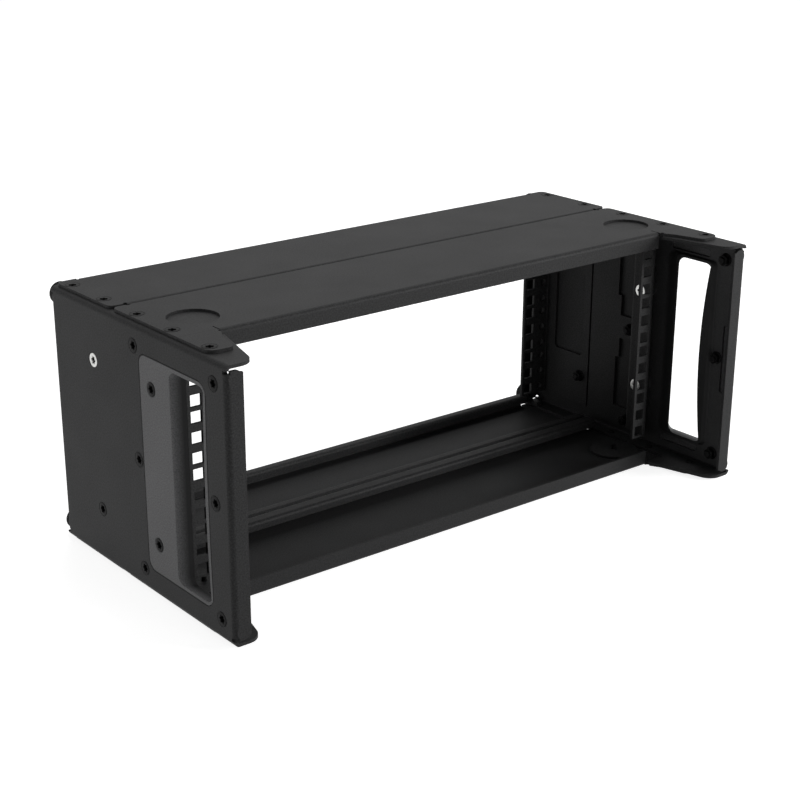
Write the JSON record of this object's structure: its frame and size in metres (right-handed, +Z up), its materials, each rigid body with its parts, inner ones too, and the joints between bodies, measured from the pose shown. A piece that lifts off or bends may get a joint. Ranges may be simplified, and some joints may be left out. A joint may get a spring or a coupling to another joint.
{
  "type": "subrack card cage",
  "caption": "Open 19-inch subrack frame: folded side panels with moulded carrying handles, folded covers above and below, and perforated rack rails.",
  "frame": {"origin": "centre of the base, on the outer face of the bottom covers, midway between the front edge and the rear bumpers", "axes": "+X across the width towards the right-hand panel, +Y from front to rear, +Z up"},
  "size_m": [0.52, 0.255, 0.2138],
  "materials": {
    "powder_coat": "fine-textured matt powder coat",
    "grey_moulding": "fine grain",
    "black_screw": "black zinc",
    "bright_screw": "bright zinc",
    "rubber": "matt"
  },
  "bodies": {
    "root": {"side_panel_left": "powder_coat", "side_panel_right": "powder_coat", "handle_insert_left": "grey_moulding", "handle_insert_right": "grey_moulding", "top_front_cover": "powder_coat", "top_rear_cover": "powder_coat", "bottom_front_cover": "powder_coat", "bottom_rear_cover": "powder_coat", "front_rail_left": "powder_coat", "front_rail_right": "powder_coat", "rear_rail_left": "powder_coat", "rear_rail_right": "powder_coat", "top_cover_screws": "black_screw", "bottom_cover_screws": "black_screw", "panel_screws_left": "black_screw", "panel_screws_right": "black_screw", "insert_screws_left": "black_screw", "insert_screws_right": "black_screw", "rear_rail_upper_screws": "bright_screw", "rear_rail_lower_screws": "black_screw", "panel_nuts_left": "black_screw", "panel_nuts_right": "black_screw", "insert_nuts_left": "black_screw", "insert_nuts_right": "black_screw", "rear_rail_nuts": "black_screw", "rail_wall_screws": "bright_screw", "rear_bumpers": "rubber", "bumper_screws": "black_screw", "foot_pads": "rubber", "foot_pad_screws": "black_screw"}
  },
  "joints": []
}
